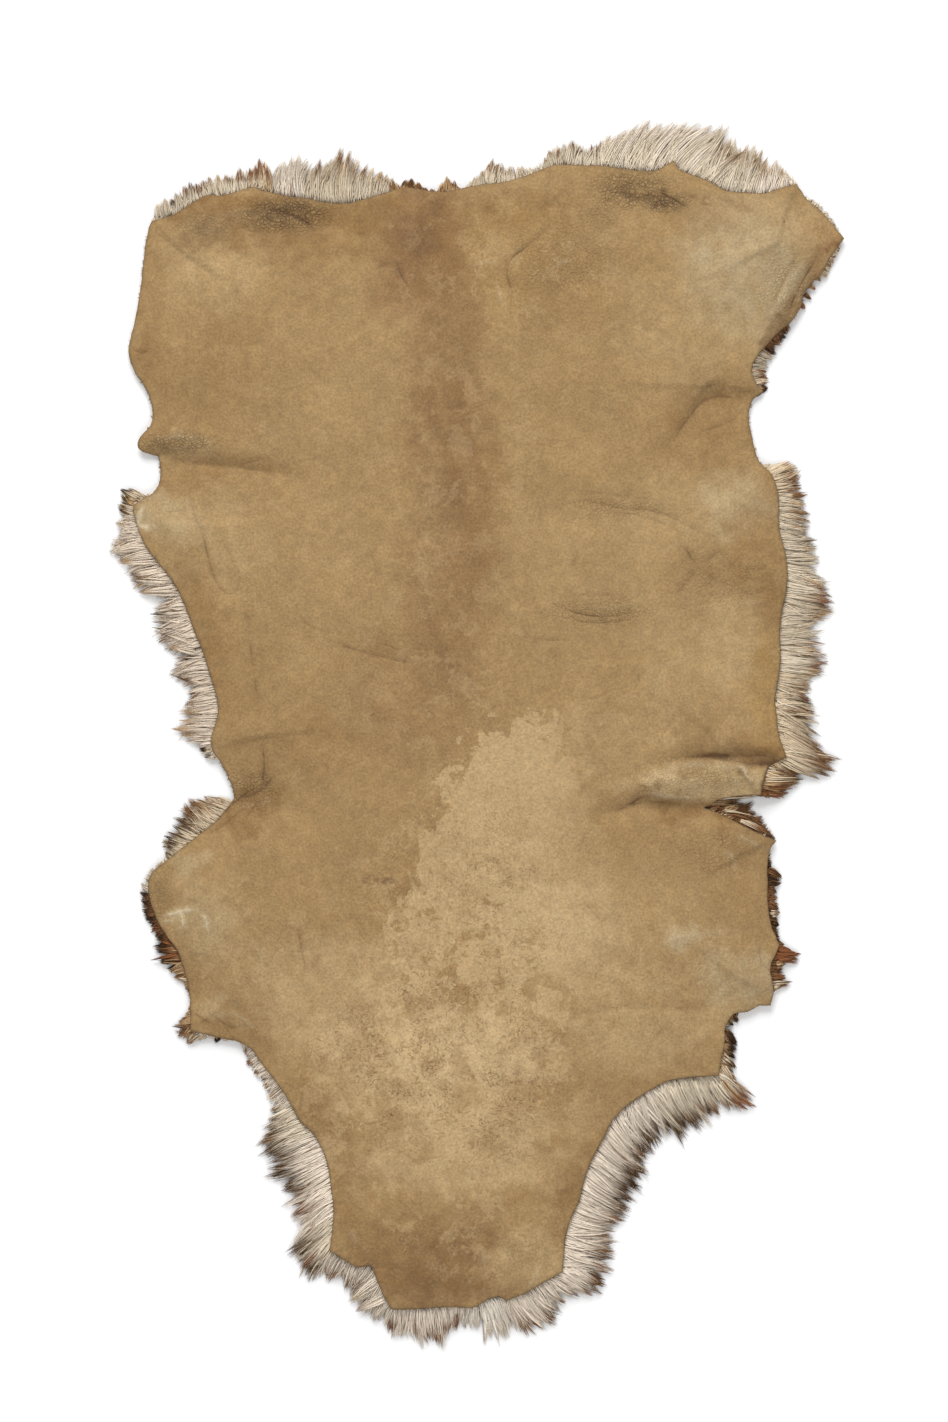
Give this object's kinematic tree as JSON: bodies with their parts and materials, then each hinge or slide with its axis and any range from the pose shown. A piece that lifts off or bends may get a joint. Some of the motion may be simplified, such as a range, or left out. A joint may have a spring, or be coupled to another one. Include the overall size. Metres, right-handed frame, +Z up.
{
  "type": "hair-on hide",
  "caption": "Hair-on shearling sheepskin laid flat with its tan leather side up, its cut edge uneven and fringed with long cream hair with brown tips.",
  "frame": {"origin": "middle of the whole piece's bounding box, on the surface it lies on", "axes": "+Y along the back towards the rump end, +X to the right with the leather side up and the rump away, +Z up out of the leather side"},
  "size_m": [0.6634, 1.105, 0.0257],
  "materials": {
    "skin": "matt tanned flesh side, mottled tan",
    "fleece": "long straight hair, cream with brown tips"
  },
  "bodies": {
    "root": {"skin": "skin", "fleece": "fleece"}
  },
  "joints": []
}
